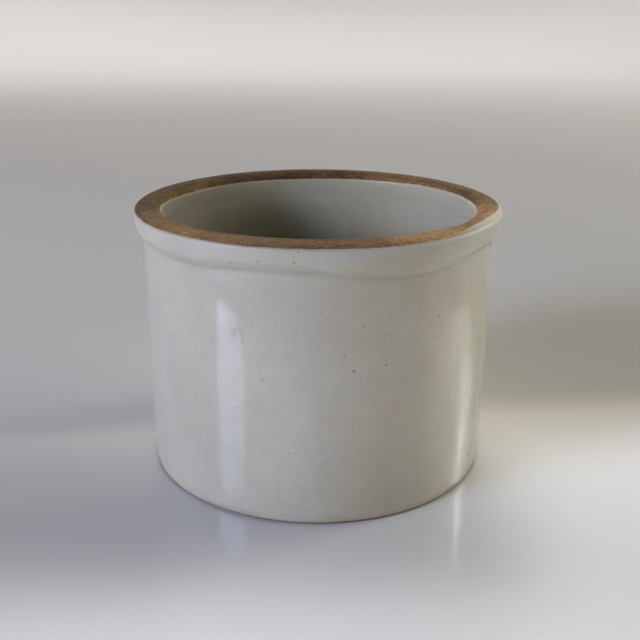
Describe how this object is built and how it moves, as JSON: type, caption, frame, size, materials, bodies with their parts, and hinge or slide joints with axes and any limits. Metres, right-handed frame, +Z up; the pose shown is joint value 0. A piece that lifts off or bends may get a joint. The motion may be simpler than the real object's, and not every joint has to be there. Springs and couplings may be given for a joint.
{
  "type": "fermentation crock",
  "caption": "Round glazed stoneware fermentation crock with a thick bare rim over a rolled lip, and half-round stoneware weights lying on its floor.",
  "frame": {"origin": "centre of the foot ring, on the surface that the crock stands on", "axes": "+Z up along the crock's axis and out of its mouth, +X to the right weight, -Y to the side seen from the front"},
  "size_m": [0.266, 0.266, 0.195],
  "materials": {
    "crock_glaze": "gloss",
    "weight_stoneware": "satin"
  },
  "bodies": {
    "crock": {"crock_body": "crock_glaze"},
    "left_weight": {"weight_left": "weight_stoneware"},
    "right_weight": {"weight_right": "weight_stoneware"}
  },
  "joints": [
    {"name": "weight_left_lift", "type": "slide", "parent": "crock", "child": "left_weight", "axis": [0, 0, 1], "range_m": [0, 0.2]},
    {"name": "weight_right_lift", "type": "slide", "parent": "crock", "child": "right_weight", "axis": [0, 0, 1], "range_m": [0, 0.2]}
  ]
}
